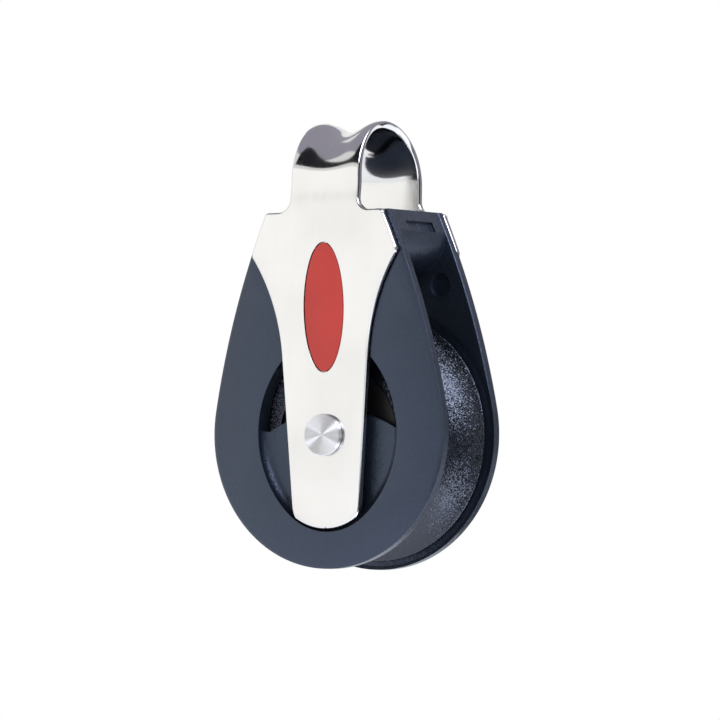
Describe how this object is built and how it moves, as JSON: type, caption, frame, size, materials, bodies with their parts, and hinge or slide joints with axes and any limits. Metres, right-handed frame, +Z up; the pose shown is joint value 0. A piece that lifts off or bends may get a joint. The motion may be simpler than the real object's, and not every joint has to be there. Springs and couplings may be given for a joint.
{
  "type": "single sheave block",
  "caption": "Single sheave block: a grooved ball bearing wheel between two moulded cheeks, carried by a stainless strap with a loop head.",
  "frame": {"origin": "the bearing point of the head loop: under the middle of the crown, where a shackle or lashing pulls; the axle is 59.3 mm below it", "axes": "+Z up from the axle to the head loop, -Y to the front with the turned axle head, X across the cheeks; the axle lies along Y"},
  "size_m": [0.0542, 0.0263, 0.0898],
  "materials": {
    "strap_stainless": "pressed stainless plate, fine satin on the flats and polished over the loop",
    "axle_stainless": "turned stainless, fine rings on the head",
    "cheek_nylon": "moulded carbon-grey nylon, fine matt grain",
    "sheave_acetal": "black moulded acetal with a coarse spark-eroded grain",
    "race_acetal": "black acetal, smooth",
    "ball_acetal": "natural acetal, polished",
    "badge_red": "red moulded insert, blank, soft sheen"
  },
  "bodies": {
    "block_frame": {"head_strap": "strap_stainless", "front_cheek": "cheek_nylon", "rear_cheek": "cheek_nylon", "axle_pin": "axle_stainless", "inner_race": "race_acetal", "front_badge": "badge_red", "rear_badge": "badge_red"},
    "sheave_wheel": {"sheave": "sheave_acetal", "front_retainer": "race_acetal", "rear_retainer": "race_acetal"},
    "ball_set": {"ball_front_01": "ball_acetal", "ball_front_02": "ball_acetal", "ball_front_03": "ball_acetal", "ball_front_04": "ball_acetal", "ball_front_05": "ball_acetal", "ball_front_06": "ball_acetal", "ball_front_07": "ball_acetal", "ball_front_08": "ball_acetal", "ball_front_09": "ball_acetal", "ball_front_10": "ball_acetal", "ball_front_11": "ball_acetal", "ball_front_12": "ball_acetal", "ball_front_13": "ball_acetal", "ball_rear_01": "ball_acetal", "ball_rear_02": "ball_acetal", "ball_rear_03": "ball_acetal", "ball_rear_04": "ball_acetal", "ball_rear_05": "ball_acetal", "ball_rear_06": "ball_acetal", "ball_rear_07": "ball_acetal", "ball_rear_08": "ball_acetal", "ball_rear_09": "ball_acetal", "ball_rear_10": "ball_acetal", "ball_rear_11": "ball_acetal", "ball_rear_12": "ball_acetal", "ball_rear_13": "ball_acetal"}
  },
  "joints": [
    {"name": "sheave_spin", "type": "hinge", "parent": "block_frame", "child": "sheave_wheel", "pos_m": [0, 0, -0.0593], "axis": [0, 1, 0], "continuous": true},
    {"name": "ball_orbit", "type": "hinge", "parent": "block_frame", "child": "ball_set", "pos_m": [0, 0, -0.0593], "axis": [0, 1, 0], "continuous": true}
  ],
  "couplings": [
    {"joint": "ball_orbit", "follows": "sheave_spin", "ratio": 0.6238}
  ]
}
